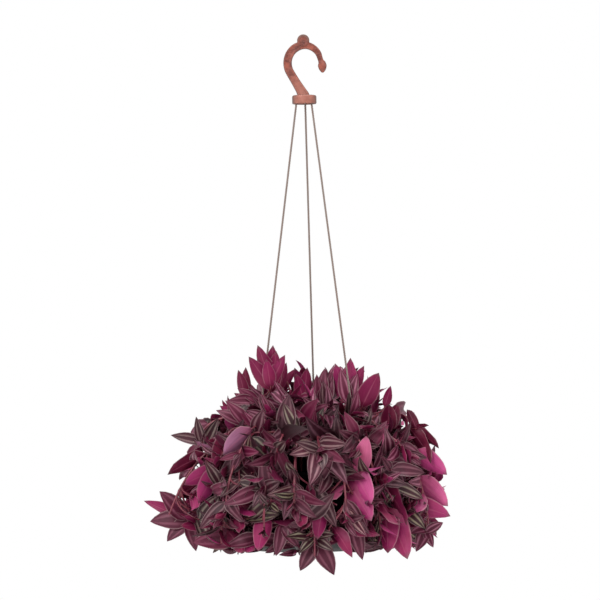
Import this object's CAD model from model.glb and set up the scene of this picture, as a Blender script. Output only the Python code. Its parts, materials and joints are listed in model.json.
import json
import math
import random

import bmesh
import bpy
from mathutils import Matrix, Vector
from mathutils.bvhtree import BVHTree

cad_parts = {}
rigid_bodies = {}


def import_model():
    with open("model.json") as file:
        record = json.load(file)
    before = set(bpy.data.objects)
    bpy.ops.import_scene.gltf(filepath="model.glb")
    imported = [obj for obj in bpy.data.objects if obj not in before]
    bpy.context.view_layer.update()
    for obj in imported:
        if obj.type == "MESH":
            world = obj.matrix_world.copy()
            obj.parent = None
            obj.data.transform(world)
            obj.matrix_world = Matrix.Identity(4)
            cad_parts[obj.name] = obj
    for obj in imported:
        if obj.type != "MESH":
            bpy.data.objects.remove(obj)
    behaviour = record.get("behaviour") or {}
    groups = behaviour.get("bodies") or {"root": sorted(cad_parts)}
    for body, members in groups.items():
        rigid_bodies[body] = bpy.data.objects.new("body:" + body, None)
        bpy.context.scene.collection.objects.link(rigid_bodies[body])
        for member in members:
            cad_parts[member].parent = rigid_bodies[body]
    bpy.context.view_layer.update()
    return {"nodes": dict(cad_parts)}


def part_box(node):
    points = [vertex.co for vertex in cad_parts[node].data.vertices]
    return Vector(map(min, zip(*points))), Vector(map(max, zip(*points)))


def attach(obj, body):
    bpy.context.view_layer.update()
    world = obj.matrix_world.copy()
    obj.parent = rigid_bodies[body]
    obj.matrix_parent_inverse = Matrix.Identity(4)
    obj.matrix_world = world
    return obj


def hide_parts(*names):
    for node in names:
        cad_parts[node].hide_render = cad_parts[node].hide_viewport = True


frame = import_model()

UP = Vector((0.0, 0.0, 1.0))


# ------------------------------------------------------------------- hook
# The hanger is one piece of terracotta-coloured polypropylene, injection moulded: a crook with a
# shallow channel down each flat side, a round gate boss on its crown and a hollow cup at its foot.
# The ceiling hook goes through the crook, and the cup takes the plate that the cords are knotted on.

HOOK_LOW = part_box("hook")[0]
CROOK_HALF_WIDTH = 0.0234
CROOK_HALF_HEIGHT = 0.0250
CROOK_SHIFT = 0.0007  # of the crook's middle from the axis
CROOK_RADIUS = 0.0060  # half the bar's width where the arm runs into the crook
CROOK_TAPER = 0.00002  # lost for each degree past CROOK_TAPER_FROM
CROOK_TAPER_FROM = 120
CROWN_RADIUS = CROOK_RADIUS - CROOK_TAPER * (CROOK_TAPER_FROM - 90)
CROOK_START = 210  # degrees round the ellipse, where the crown is at 90
CROOK_END = 30
CROOK_STEP = 15
CUP_TOP = HOOK_LOW.z + 0.0123
CUP_RADIUS = 0.0171
HOOK_FLATNESS = 0.8
HOOK_SIDES = 32
HOOK_SQUARENESS = 0.55  # power of a section's outline: 1 is round, and less is squarer
HOOK_SPACING = 0.0009  # from one section to the next
CHANNEL_DEPTH = 0.34
CHANNEL_HALF = 0.62  # share of the bar's half width
CHANNEL_STEEPNESS = 8
BOSS_RADIUS = 0.0086
BOSS_CENTRE = Vector((-0.0003, 0.0, 0.012))
BOSS_SIDES = 40
HOOK_VOXEL = 0.00036


def add_node(tree, kind, feeds=None, **settings):
    """A node, whose inputs take plain values or the outputs of other nodes."""
    made = tree.nodes.new(kind)
    for name, value in settings.items():
        setattr(made, name, value)
    for name, value in (feeds or {}).items():
        socket = made.inputs[name]
        if isinstance(value, bpy.types.NodeSocket):
            tree.links.new(value, socket)
        else:
            socket.default_value = value
    return made


def new_finish(name, roughness, **fixed):
    """A material with one Principled shader; fixed values go on the shader's own sockets."""
    made = bpy.data.materials.new(name)
    made.use_nodes = True
    shader = made.node_tree.nodes["Principled BSDF"]
    shader.inputs["Roughness"].default_value = roughness
    for socket, value in fixed.items():
        shader.inputs[socket.replace("_", " ")].default_value = value
    return made, made.node_tree, shader


def grain(tree, scale, detail, where=None, stretch=(1.0, 1.0, 1.0)):
    """Noise on the object's own coordinates, which may be drawn out along an axis."""
    where = where or add_node(tree, "ShaderNodeTexCoord").outputs["Object"]
    laid = add_node(tree, "ShaderNodeMapping", {"Vector": where, "Scale": stretch})
    noise = add_node(
        tree, "ShaderNodeTexNoise", {"Vector": laid.outputs[0], "Scale": scale, "Detail": detail}
    )
    return noise.outputs["Fac"]


def stops(tree, share, *colours):
    """A colour ramp through (place, colour) pairs."""
    ramp = add_node(tree, "ShaderNodeValToRGB", {"Fac": share})
    elements = ramp.color_ramp.elements
    while len(elements) < len(colours):
        elements.new(0.5)
    for element, (place, colour) in zip(elements, colours):
        element.position = place
        element.color = (*colour, 1.0)
    return ramp.outputs["Color"]


def blend_colours(tree, share, first, second):
    mix = add_node(tree, "ShaderNodeMix", data_type="RGBA")
    for index, value in ((0, share), (6, first), (7, second)):
        if isinstance(value, bpy.types.NodeSocket):
            tree.links.new(value, mix.inputs[index])
        elif index:
            mix.inputs[index].default_value = (*value, 1.0)
        else:
            mix.inputs[index].default_value = value
    return mix.outputs[2]


def sums(tree, way, first, second=0.5):
    return add_node(tree, "ShaderNodeMath", {0: first, 1: second}, operation=way).outputs[0]


def spread(tree, value, low, high, out_low=0.0, out_high=1.0):
    """The value's range from low to high, laid out from out_low to out_high."""
    feeds = {"Value": value, 1: low, 2: high, 3: out_low, 4: out_high}
    return add_node(tree, "ShaderNodeMapRange", feeds).outputs["Result"]


def layered(tree, base, *layers):
    """A base with layers over it, each a value, its range, the share that it reaches and its colour."""
    for value, low, high, share, colour in layers:
        base = blend_colours(tree, spread(tree, value, low, high, 0.0, share), base, colour)
    return base


def emboss(tree, shader, height, depth, strength):
    feeds = {"Height": height, "Distance": depth, "Strength": strength}
    bump = add_node(tree, "ShaderNodeBump", feeds)
    tree.links.new(bump.outputs["Normal"], shader.inputs["Normal"])


def terracotta_finish():
    made, tree, shader = new_finish("terracotta_plastic", 0.5, Specular_IOR_Level=0.3)
    where = add_node(tree, "ShaderNodeTexCoord").outputs["Object"]
    height = add_node(tree, "ShaderNodeSeparateXYZ", {"Vector": where}).outputs["Z"]
    cloud = grain(tree, 130.0, 4.0)
    flow = grain(tree, 160.0, 5.0, stretch=(1.0, 1.0, 3.0))
    rich = stops(tree, cloud, (0.35, (0.075, 0.014, 0.010)), (0.65, (0.24, 0.058, 0.036)))
    faded = stops(tree, cloud, (0.30, (0.22, 0.072, 0.050)), (0.70, (0.33, 0.125, 0.092)))
    base = blend_colours(tree, spread(tree, height, -0.060, -0.025), faded, rich)
    edges = add_node(tree, "ShaderNodeNewGeometry").outputs["Pointiness"]
    streaks = (flow, 0.45, 0.75, 0.4, (0.27, 0.11, 0.085))
    worn_edges = (edges, 0.51, 0.58, 0.7, (0.15, 0.095, 0.08))
    dirty_hollows = (edges, 0.49, 0.43, 0.7, (0.07, 0.016, 0.012))
    used = layered(tree, base, streaks, worn_edges, dirty_hollows)
    away = add_node(
        tree, "ShaderNodeVectorMath", {0: where, 1: BOSS_CENTRE}, operation="DISTANCE"
    ).outputs["Value"]
    on_boss = sums(
        tree, "MULTIPLY", spread(tree, away, 0.0045, 0.0080), spread(tree, away, 0.0105, 0.0090)
    )
    high = sums(tree, "MULTIPLY", on_boss, spread(tree, height, 0.008, 0.016, 0.0, 0.75))
    rubbed = blend_colours(tree, high, used, (0.115, 0.070, 0.057))
    facing = add_node(tree, "ShaderNodeNewGeometry").outputs["Normal"]
    front = add_node(tree, "ShaderNodeSeparateXYZ", {"Vector": facing}).outputs["Y"]
    sides = spread(tree, sums(tree, "ABSOLUTE", front), 0.85, 0.30, 0.0, 0.85)
    tree.links.new(
        blend_colours(tree, sides, rubbed, (0.070, 0.034, 0.027)), shader.inputs["Base Color"]
    )
    tree.links.new(spread(tree, cloud, 0.3, 0.7, 0.42, 0.58), shader.inputs["Roughness"])
    emboss(tree, shader, grain(tree, 1400.0, 2.0), 0.00008, 0.5)
    return made


def smooth_line(points, step):
    """Points about one step apart on a smooth curve through the given ones."""
    ends = [points[0] * 2 - points[1], *points, points[-1] * 2 - points[-2]]
    line = []
    for a, b, c, d in zip(ends, ends[1:], ends[2:], ends[3:]):
        count = max(1, round((Vector(c[:3]) - Vector(b[:3])).length / step))
        for i in range(count):
            t = i / count
            line.append(
                (b * 2 + (c - a) * t + (a * 2 - b * 5 + c * 4 - d) * t**2
                 + (b * 3 - a - c * 3 + d) * t**3) * 0.5
            )
    return line + [points[-1]]


def new_piece(name, bm):
    """An object from a bmesh, with its faces smooth and its normals outwards."""
    bmesh.ops.recalc_face_normals(bm, faces=bm.faces)
    mesh = bpy.data.meshes.new(name)
    bm.to_mesh(mesh)
    bm.free()
    mesh.shade_smooth()
    made = bpy.data.objects.new(name, mesh)
    bpy.context.scene.collection.objects.link(made)
    return made


def settled(obj):
    """Turns the modified object into a plain mesh, with no modifier left on it."""
    graph = bpy.context.evaluated_depsgraph_get()
    mesh = bpy.data.meshes.new_from_object(obj.evaluated_get(graph))
    obj.modifiers.clear()
    obj.data = mesh
    return obj


def add_rings(bm, rings):
    """Skins a row of point rings, and closes both ends."""
    rows = [[bm.verts.new(point) for point in ring] for ring in rings]
    for low, high in zip(rows, rows[1:]):
        for i, vert in enumerate(low):
            bm.faces.new((vert, low[i - 1], high[i - 1], high[i]))
    bm.faces.new(rows[0])
    bm.faces.new(rows[-1])


def add_turned(bm, profile, sides=64):
    """A turned body; its (radius, height) profile starts and ends on the axis."""
    turns = [2 * math.pi * i / sides for i in range(sides)]
    rows = [
        [bm.verts.new((radius * math.cos(a), radius * math.sin(a), height)) for a in turns]
        for radius, height in profile[1:-1]
    ]
    for high, low in zip(rows, rows[1:]):
        for i in range(sides):
            bm.faces.new((high[i - 1], high[i], low[i], low[i - 1]))
    for row, (_, height) in ((rows[0], profile[0]), (rows[-1], profile[-1])):
        middle = bm.verts.new((0.0, 0.0, height))
        for i in range(sides):
            bm.faces.new((middle, row[i - 1], row[i]))


def channelled_ring(place, way, half):
    """The hook's section: a rounded bar, hollowed along the middle of its front and back."""
    across = Vector((way.z, 0.0, -way.x))
    ring = []
    for i in range(HOOK_SIDES):
        turn = 2 * math.pi * (i + 0.5) / HOOK_SIDES
        s = math.copysign(abs(math.cos(turn)) ** HOOK_SQUARENESS, math.cos(turn))
        t = math.copysign(abs(math.sin(turn)) ** HOOK_SQUARENESS, math.sin(turn))
        hollow = 1.0 - CHANNEL_DEPTH / (1.0 + (s / CHANNEL_HALF) ** CHANNEL_STEEPNESS)
        ring.append(place + across * half * s + Vector((0.0, half * HOOK_FLATNESS * t * hollow, 0.0)))
    return ring


def make_hook():
    crook = []
    for degrees in range(CROOK_START, CROOK_END - 1, -CROOK_STEP):
        turn = math.radians(degrees)
        crook.append((
            CROOK_SHIFT + CROOK_HALF_WIDTH * math.cos(turn),
            CROWN_RADIUS - CROOK_HALF_HEIGHT + CROOK_HALF_HEIGHT * math.sin(turn),
            CROOK_RADIUS - CROOK_TAPER * max(0, CROOK_TAPER_FROM - degrees),
        ))
    foot = [
        (-0.0012, CUP_TOP - 0.0017, 0.0085), (-0.0012, CUP_TOP - 0.0002, 0.0084),
        (-0.0048, -0.0576, 0.0070), (-0.0120, -0.0453, 0.0062),
    ]
    tip = [
        (0.0238, -0.0160, 0.0038), (0.0254, -0.0200, 0.0054), (0.0260, -0.0242, 0.0061),
        (0.0262, -0.0290, 0.0047), (0.0262, -0.0320, 0.0026), (0.0262, -0.0334, 0.0010),
    ]
    route = [Vector((x, 0.0, z, half)) for x, z, half in foot + crook + tip]
    line = smooth_line(route, HOOK_SPACING)
    bm = bmesh.new()
    rings = []
    for before, here, after in zip([line[0], *line], line, [*line[1:], line[-1]]):
        way = Vector((after.x - before.x, 0.0, after.z - before.z)).normalized()
        rings.append(channelled_ring(Vector(here[:3]), way, here.w))
    add_rings(bm, rings)
    boss = [
        (0.0, 0.0031), (0.0044, 0.0031), (0.0052, 0.0037), (0.0058, 0.0041), (0.0078, 0.0041),
        (0.0084, 0.0036), (BOSS_RADIUS, 0.0028), (BOSS_RADIUS, -0.0028), (0.0084, -0.0036),
        (0.0078, -0.0041), (0.0058, -0.0041), (0.0052, -0.0037), (0.0044, -0.0031), (0.0, -0.0031),
    ]
    before_boss = len(bm.verts)
    add_turned(bm, boss, BOSS_SIDES)
    bm.verts.ensure_lookup_table()
    for vert in bm.verts[before_boss:]:
        vert.co = BOSS_CENTRE + Vector((vert.co.x, vert.co.z, vert.co.y))
    bottom = HOOK_LOW.z
    cup = [
        (0.0, CUP_TOP), (0.0146, CUP_TOP), (0.0160, CUP_TOP - 0.0004), (0.0168, CUP_TOP - 0.0011),
        (CUP_RADIUS, CUP_TOP - 0.0022), (CUP_RADIUS, bottom + 0.0016), (0.0168, bottom + 0.0005),
        (0.0162, bottom), (0.0147, bottom), (0.0145, bottom + 0.0003), (0.0145, bottom + 0.0008),
        (0.0154, bottom + 0.0012), (0.0154, CUP_TOP - 0.0022), (0.0, CUP_TOP - 0.0022),
    ]
    add_turned(bm, cup)
    hook = new_piece("hanging_hook", bm)
    fuse = hook.modifiers.new("fuse", "REMESH")
    fuse.mode = "VOXEL"
    fuse.voxel_size = HOOK_VOXEL
    fuse.use_smooth_shade = True
    soften = hook.modifiers.new("soften", "SMOOTH")
    soften.factor = 0.5
    soften.iterations = 3
    settled(hook)
    hook.data.materials.append(terracotta_finish())
    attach(hook, "root")
    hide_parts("hook")


make_hook()


# ------------------------------------------------------------- cord plate
# A thin disc of the same polypropylene with three holes, each in a low collar. It snaps up into
# the cup past the cup's lip, and the stop knots of the cords rest on it.

PLATE_LOW, PLATE_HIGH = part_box("cord_plate")
CORD_AZIMUTHS = {"cord_right": -36.0, "cord_back": 84.0, "cord_left": 204.0}
CORD_TOP_RING = 0.0115
CORD_HOLE_RADIUS = 0.0024
HOLE_SIDES = 28
HOLE_OVERRUN = 0.002  # of a hole's cutter past each face


def outwards(azimuth, tilt=0.0):
    """The direction out from the axis at an azimuth, tilted above the horizontal, in degrees."""
    turn = math.radians(azimuth)
    rise = math.radians(tilt)
    return Vector((math.cos(turn) * math.cos(rise), math.sin(turn) * math.cos(rise), math.sin(rise)))


def drill(piece, places, radius, low, high):
    """Round holes straight up and down through a piece whose faces are at low and high."""
    low -= HOLE_OVERRUN
    high += HOLE_OVERRUN
    bm = bmesh.new()
    for place in places:
        made = bmesh.ops.create_cone(
            bm, cap_ends=True, segments=HOLE_SIDES, radius1=radius, radius2=radius, depth=high - low
        )
        bmesh.ops.translate(bm, verts=made["verts"], vec=(place.x, place.y, (low + high) / 2))
    rods = new_piece("rods", bm)
    cut = piece.modifiers.new("holes", "BOOLEAN")
    cut.operation = "DIFFERENCE"
    cut.object = rods
    settled(piece)
    bpy.data.objects.remove(rods)
    piece.data.set_sharp_from_angle(angle=math.radians(35))


def make_cord_plate():
    edge = PLATE_HIGH.x
    low, high = PLATE_LOW.z, PLATE_HIGH.z
    profile = [
        (0.0, high), (0.0062, high), (0.0070, high - 0.0005), (edge - 0.0012, high - 0.0005),
        (edge - 0.0004, high - 0.0007), (edge, high - 0.0011), (edge, low + 0.0004),
        (edge - 0.0004, low), (0.0, low),
    ]
    bm = bmesh.new()
    add_turned(bm, profile)
    plate = new_piece("knot_plate", bm)
    places = [outwards(azimuth) * CORD_TOP_RING for azimuth in CORD_AZIMUTHS.values()]
    drill(plate, places, CORD_HOLE_RADIUS, low, high)
    plate.data.materials.append(bpy.data.materials["terracotta_plastic"])
    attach(plate, "root")
    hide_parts("cord_plate")


make_cord_plate()


# ------------------------------------------------------------------ cords
# Three lengths of brown polypropylene twine, each laid up from three strands. A cord runs taut from
# the plate in the cup, down through a hole in the pot's rim, with a stop knot at each end.

STRAND_RADIUS = 0.00075
STRAND_LAY = 0.0105  # length of one full turn of a strand
LAY_STEPS = 12  # in one full turn
CORD_STEPS = 40
KNOT_LOOP = 0.0006  # scale of the knot's loops, seen from above
KNOT_WAVE = 0.0010  # how far they rise and fall
KNOT_TWINE = 0.0012
KNOT_POINTS = 49
KNOT_RISE = 0.0024  # of a knot's middle from the face that it rests on
RIM_RING = 0.0863
RIM_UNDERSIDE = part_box("pot")[1].z - 0.003
REST_GAP = 0.0003  # between pieces that rest on one another


def twine_finish():
    made, tree, shader = new_finish("brown_twine", 0.75, Sheen_Weight=0.15, Sheen_Roughness=0.4)
    fibres = grain(tree, 2200.0, 3.0, stretch=(1.0, 1.0, 0.12))
    patches = grain(tree, 30.0, 2.0)
    base = stops(tree, fibres, (0.30, (0.100, 0.066, 0.054)), (0.70, (0.25, 0.185, 0.160)))
    faded = blend_colours(tree, spread(tree, patches, 0.35, 0.7, 0.0, 0.55), base, (0.17, 0.14, 0.125))
    tree.links.new(faded, shader.inputs["Base Color"])
    emboss(tree, shader, fibres, 0.00012, 0.8)
    return made


def new_tree(name, inputs):
    """An empty Geometry Nodes tree with named inputs, and the outputs of its Group Input node."""
    tree = bpy.data.node_groups.new(name, "GeometryNodeTree")
    for label, kind in [("Geometry", "Geometry"), *inputs]:
        tree.interface.new_socket(label, in_out="INPUT", socket_type="NodeSocket" + kind)
    tree.interface.new_socket("Geometry", in_out="OUTPUT", socket_type="NodeSocketGeometry")
    return tree, add_node(tree, "NodeGroupInput").outputs


def end_tree(tree, geometry, finish):
    """Ends a tree: its instances made real, its faces smooth and its finish set."""
    whole = add_node(tree, "GeometryNodeRealizeInstances", {0: geometry}).outputs[0]
    smooth = add_node(tree, "GeometryNodeSetShadeSmooth", {0: whole}).outputs[0]
    skinned = add_node(tree, "GeometryNodeSetMaterial", {"Geometry": smooth, "Material": finish})
    tree.links.new(skinned.outputs[0], add_node(tree, "NodeGroupOutput").inputs[0])


def grown(obj, tree, inputs):
    """Runs a tree on obj, with its inputs set by name, and keeps the plain mesh that it makes."""
    change = obj.modifiers.new(tree.name, "NODES")
    change.node_group = tree
    for item in tree.interface.items_tree:
        if item.in_out == "INPUT" and item.name in inputs:
            change[item.identifier] = inputs[item.name]
    return settled(obj)


def twine_tree():
    """Lays three strands round a line of points, each moved out on an arm that turns as it goes."""
    tree, given = new_tree(
        "laid_twine",
        [("Strand radius", "Float"), ("Lay", "Float"), ("Step", "Float"), ("Finish", "Material")],
    )
    line = add_node(tree, "GeometryNodeMeshToCurve", {"Mesh": given["Geometry"]}).outputs[0]
    points = add_node(
        tree, "GeometryNodeResampleCurve", {"Curve": line, "Length": given["Step"]}, mode="LENGTH"
    ).outputs[0]
    travelled = add_node(tree, "GeometryNodeSplineParameter").outputs["Length"]
    turns = sums(tree, "DIVIDE", travelled, given["Lay"])
    angle = sums(tree, "MULTIPLY", turns, 2 * math.pi)
    tangent = add_node(tree, "GeometryNodeInputTangent").outputs[0]
    side = add_node(tree, "GeometryNodeInputNormal").outputs[0]
    arm = add_node(
        tree, "ShaderNodeVectorMath", {0: side, "Scale": given["Strand radius"]}, operation="SCALE"
    ).outputs[0]
    section = add_node(
        tree, "GeometryNodeCurvePrimitiveCircle", {"Resolution": 8, "Radius": given["Strand radius"]}
    ).outputs[0]
    strands = add_node(tree, "GeometryNodeJoinGeometry")
    for strand in range(3):
        phase = sums(tree, "ADD", angle, strand * 2 * math.pi / 3)
        turned = add_node(
            tree, "ShaderNodeVectorRotate",
            {"Vector": arm, "Axis": tangent, "Angle": phase}, rotation_type="AXIS_ANGLE",
        ).outputs[0]
        moved = add_node(
            tree, "GeometryNodeSetPosition", {"Geometry": points, "Offset": turned}
        ).outputs[0]
        tube = add_node(
            tree, "GeometryNodeCurveToMesh",
            {"Curve": moved, "Profile Curve": section, "Fill Caps": True},
        ).outputs[0]
        tree.links.new(tube, strands.inputs[0])
    end_tree(tree, strands.outputs[0], given["Finish"])
    return tree


def add_tube(bm, points, radius):
    """A round tube along the points, on rings that don't twist."""
    turns = [math.pi * i / 4 for i in range(8)]
    rings = []
    side = Vector((0.0, 1.0, 0.0))
    for before, here, after in zip([points[0], *points], points, [*points[1:], points[-1]]):
        way = (after - before).normalized()
        side = (side - way * side.dot(way)).normalized()
        other = way.cross(side)
        rings.append([here + (side * math.cos(a) + other * math.sin(a)) * radius for a in turns])
    add_rings(bm, rings)


def add_knot(bm, centre):
    """An overhand knot: the twine's own loop, in the shape of a trefoil, drawn tight."""
    loop = []
    for i in range(KNOT_POINTS):
        t = 2 * math.pi * i / KNOT_POINTS
        x = math.sin(t) + 2 * math.sin(2 * t)
        y = math.cos(t) - 2 * math.cos(2 * t)
        loop.append(centre + Vector((x * KNOT_LOOP, y * KNOT_LOOP, -math.sin(3 * t) * KNOT_WAVE)))
    add_tube(bm, loop, KNOT_TWINE)


def make_cords():
    tree = twine_tree()
    finish = twine_finish()
    plate_top = PLATE_HIGH.z
    for name, azimuth in CORD_AZIMUTHS.items():
        top = outwards(azimuth) * CORD_TOP_RING + UP * (plate_top + REST_GAP)
        rim = outwards(azimuth) * RIM_RING + UP * (RIM_UNDERSIDE - REST_GAP)
        ends = [top + UP * KNOT_RISE, rim - UP * KNOT_RISE]
        route = [ends[0].lerp(ends[1], i / CORD_STEPS) for i in range(CORD_STEPS + 1)]
        line = bpy.data.meshes.new(name)
        line.from_pydata([tuple(point) for point in route], [(i, i + 1) for i in range(CORD_STEPS)], [])
        cord = bpy.data.objects.new(name.replace("cord", "twine"), line)
        bpy.context.scene.collection.objects.link(cord)
        grown(cord, tree, {
            "Strand radius": STRAND_RADIUS, "Lay": STRAND_LAY, "Step": STRAND_LAY / LAY_STEPS,
            "Finish": finish,
        })
        bm = bmesh.new()
        bm.from_mesh(cord.data)
        for end in ends:
            add_knot(bm, end)
        bmesh.ops.recalc_face_normals(bm, faces=bm.faces)
        bm.to_mesh(cord.data)
        bm.free()
        cord.data.shade_smooth()
        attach(cord, "root")
        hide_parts(name)


make_cords()


# -------------------------------------------------------------------- pot
# A thin-walled black polypropylene nursery pot, injection moulded with a wide flat rim that turns
# down into a lip. Three holes in the rim take the cords, and the floor has drain holes.

POT_LOW, POT_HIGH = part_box("pot")
WALL = 0.0025
RIM_RADIUS = POT_HIGH.x
RIM_Z = POT_HIGH.z
POT_BASE_Z = POT_LOW.z
POT_TOP_RADIUS = 0.082
POT_BASE_RADIUS = 0.073
RIM_THICKNESS = 0.003
RIM_LIP_DEPTH = 0.012
STEP_DROP = 0.026  # from the rim to where the wall steps in by STEP_IN
STEP_IN = 0.0007
FLOOR_CORNER = 0.004  # bevel between the floor and the wall
POT_ROUNDING = 0.0011
POT_SIDES = 96
DRAIN_RING = 0.045
DRAIN_RADIUS = 0.004
DRAIN_COUNT = 6
DRAIN_START = 30  # azimuth of the first
DRAIN_STEP = 360 / DRAIN_COUNT
STUD_HOLE_RADIUS = 0.004


def black_plastic_finish():
    made, tree, shader = new_finish("black_plastic", 0.5, Specular_IOR_Level=0.02)
    smudges = grain(tree, 45.0, 5.0)
    dust = grain(tree, 380.0, 4.0)
    base = stops(tree, smudges, (0.35, (0.002, 0.002, 0.002)), (0.75, (0.006, 0.005, 0.005)))
    dusty = blend_colours(tree, spread(tree, dust, 0.58, 0.75, 0.0, 0.30), base, (0.022, 0.016, 0.012))
    tree.links.new(dusty, shader.inputs["Base Color"])
    tree.links.new(spread(tree, smudges, 0.3, 0.7, 0.42, 0.60), shader.inputs["Roughness"])
    emboss(tree, shader, grain(tree, 1500.0, 2.0), 0.00006, 0.5)
    return made


def wall_radius(height):
    share = (height - POT_BASE_Z) / (RIM_Z - POT_BASE_Z)
    return POT_BASE_RADIUS + (POT_TOP_RADIUS - POT_BASE_RADIUS) * share


def rounded(profile, radius):
    """The profile with each inner corner cut to a short arc."""
    line = [Vector(point) for point in profile]
    soft = [line[0]]
    for before, corner, after in zip(line, line[1:], line[2:]):
        back = before - corner
        on = after - corner
        reach = min(radius, back.length * 0.45, on.length * 0.45)
        start = corner + back.normalized() * reach
        end = corner + on.normalized() * reach
        soft += [start, start.lerp(corner, 0.55).lerp(end.lerp(corner, 0.55), 0.5), end]
    return soft + [line[-1]]


def spun(name, loop, sides):
    """A closed (radius, height) loop turned right round the axis, as one shell."""
    bm = bmesh.new()
    rows = []
    for i in range(sides):
        turn = 2 * math.pi * i / sides
        rows.append([bm.verts.new((p.x * math.cos(turn), p.x * math.sin(turn), p.y)) for p in loop])
    for i, row in enumerate(rows):
        for j in range(len(loop)):
            bm.faces.new((rows[i - 1][j - 1], row[j - 1], row[j], rows[i - 1][j]))
    return new_piece(name, bm)


def make_pot():
    floor = POT_BASE_Z + WALL
    under_rim = RIM_Z - RIM_THICKNESS
    step = RIM_Z - STEP_DROP
    profile = [
        (STUD_HOLE_RADIUS, (floor + POT_BASE_Z) / 2), (STUD_HOLE_RADIUS, floor),
        (wall_radius(floor) - WALL - FLOOR_CORNER, floor),
        (wall_radius(floor) - WALL, floor + FLOOR_CORNER),
        (wall_radius(RIM_Z) - WALL, RIM_Z), (RIM_RADIUS, RIM_Z), (RIM_RADIUS, RIM_Z - RIM_LIP_DEPTH),
        (RIM_RADIUS - WALL, RIM_Z - RIM_LIP_DEPTH), (RIM_RADIUS - WALL, under_rim),
        (wall_radius(under_rim), under_rim), (wall_radius(step), step),
        (wall_radius(step) - STEP_IN, step - 0.001), (wall_radius(POT_BASE_Z), POT_BASE_Z + 0.006),
        (POT_BASE_RADIUS - FLOOR_CORNER, POT_BASE_Z), (STUD_HOLE_RADIUS, POT_BASE_Z),
        (STUD_HOLE_RADIUS, (floor + POT_BASE_Z) / 2),
    ]
    pot = spun("nursery_pot", rounded(profile, POT_ROUNDING)[:-1], POT_SIDES)
    rim_places = [outwards(azimuth) * RIM_RING for azimuth in CORD_AZIMUTHS.values()]
    drain_places = [outwards(DRAIN_START + DRAIN_STEP * i) * DRAIN_RING for i in range(DRAIN_COUNT)]
    drill(pot, rim_places, CORD_HOLE_RADIUS, under_rim, RIM_Z)
    drill(pot, drain_places, DRAIN_RADIUS, POT_BASE_Z, floor)
    pot.data.materials.append(black_plastic_finish())
    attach(pot, "root")
    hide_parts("pot")


make_pot()


# ----------------------------------------------------------------- saucer
# The drip tray under the pot is the same black plastic, with a rolled edge and three low rings on
# its floor. One stud in its middle snaps up through the hole in the pot's floor and holds it.

SAUCER_LOW, SAUCER_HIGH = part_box("saucer")
SAUCER_RADIUS = SAUCER_HIGH.x
SAUCER_FOOT_RADIUS = 0.097
SAUCER_TOP = SAUCER_LOW.z + 0.024
SAUCER_BEND = 0.005  # height at which the floor turns up into the wall
SAUCER_ROUNDING = 0.0008
TRAY_RINGS = (0.030, 0.055, 0.080)
STUD_CLEARANCE = 0.0006
STUD_HEAD_RADIUS = 0.0052
STUD_HEAD_HEIGHT = 0.003


def make_saucer():
    base = SAUCER_LOW.z
    floor = base + WALL
    head = POT_BASE_Z + WALL + REST_GAP
    stud = STUD_HOLE_RADIUS - STUD_CLEARANCE
    edge = SAUCER_RADIUS
    rings = []
    for ring in reversed(TRAY_RINGS):
        rings += [
            (ring + 0.0012, base), (ring + 0.0006, base + 0.0004),
            (ring - 0.0006, base + 0.0004), (ring - 0.0012, base),
        ]
    profile = [
        (0.0, head + STUD_HEAD_HEIGHT), (0.0036, head + STUD_HEAD_HEIGHT - 0.0004),
        (STUD_HEAD_RADIUS, head + 0.0004), (STUD_HEAD_RADIUS, head),
        (stud, head), (stud, floor), (SAUCER_FOOT_RADIUS - WALL, floor),
        (edge - 0.0035 - WALL, floor + SAUCER_BEND),
        (edge - 0.0020 - WALL, SAUCER_TOP - 0.0014), (edge - 0.0018 - WALL, SAUCER_TOP),
        (edge, SAUCER_TOP), (edge, SAUCER_TOP - 0.0030), (edge - 0.0012, SAUCER_TOP - 0.0036),
        (edge - 0.0030, base + SAUCER_BEND), (SAUCER_FOOT_RADIUS, base), *rings, (0.0, base),
    ]
    bm = bmesh.new()
    add_turned(bm, [tuple(point) for point in rounded(profile, SAUCER_ROUNDING)], POT_SIDES)
    saucer = new_piece("drip_tray", bm)
    saucer.data.set_sharp_from_angle(angle=math.radians(40))
    saucer.data.materials.append(bpy.data.materials["black_plastic"])
    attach(saucer, "root")
    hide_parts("saucer")


make_saucer()


# ------------------------------------------------------------------- soil
# A dark peat and bark potting mix fills the pot to just under its rim: a lumpy body, with loose
# crumbs of peat, bark and a little white perlite lying on it.

SOIL_LOW, SOIL_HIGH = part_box("soil")
SOIL_TOP = SOIL_HIGH.z
SOIL_EASE = 0.0004  # between the soil and the wall, past the gap
SOIL_CORNER = 0.005
SOIL_RINGS = 14
SOIL_SIDES = 72
HUMPS = (0.0004, 0.0030)  # least and most that the lumpy surface lies below SOIL_TOP
RECESS_RADIUS = 0.0058  # over the saucer's stud
RECESS_DEPTH = 0.004
CRUMB_SIZE = 0.0016
CRUMB_DENSITY = 70000.0  # on a square metre
CRUMB_DEPTH = 0.004  # below the soil's top, down to which crumbs lie


def soil_finish():
    made, tree, shader = new_finish("potting_soil", 0.95, Specular_IOR_Level=0.2)
    lumps = grain(tree, 160.0, 6.0)
    flecks = grain(tree, 420.0, 2.0)
    base = stops(
        tree, lumps, (0.30, (0.012, 0.007, 0.004)), (0.55, (0.040, 0.024, 0.014)),
        (0.80, (0.085, 0.055, 0.034)),
    )
    perlite = spread(tree, flecks, 0.70, 0.74)
    tree.links.new(blend_colours(tree, perlite, base, (0.50, 0.47, 0.42)), shader.inputs["Base Color"])
    emboss(tree, shader, lumps, 0.0012, 0.9)
    return made


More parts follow.
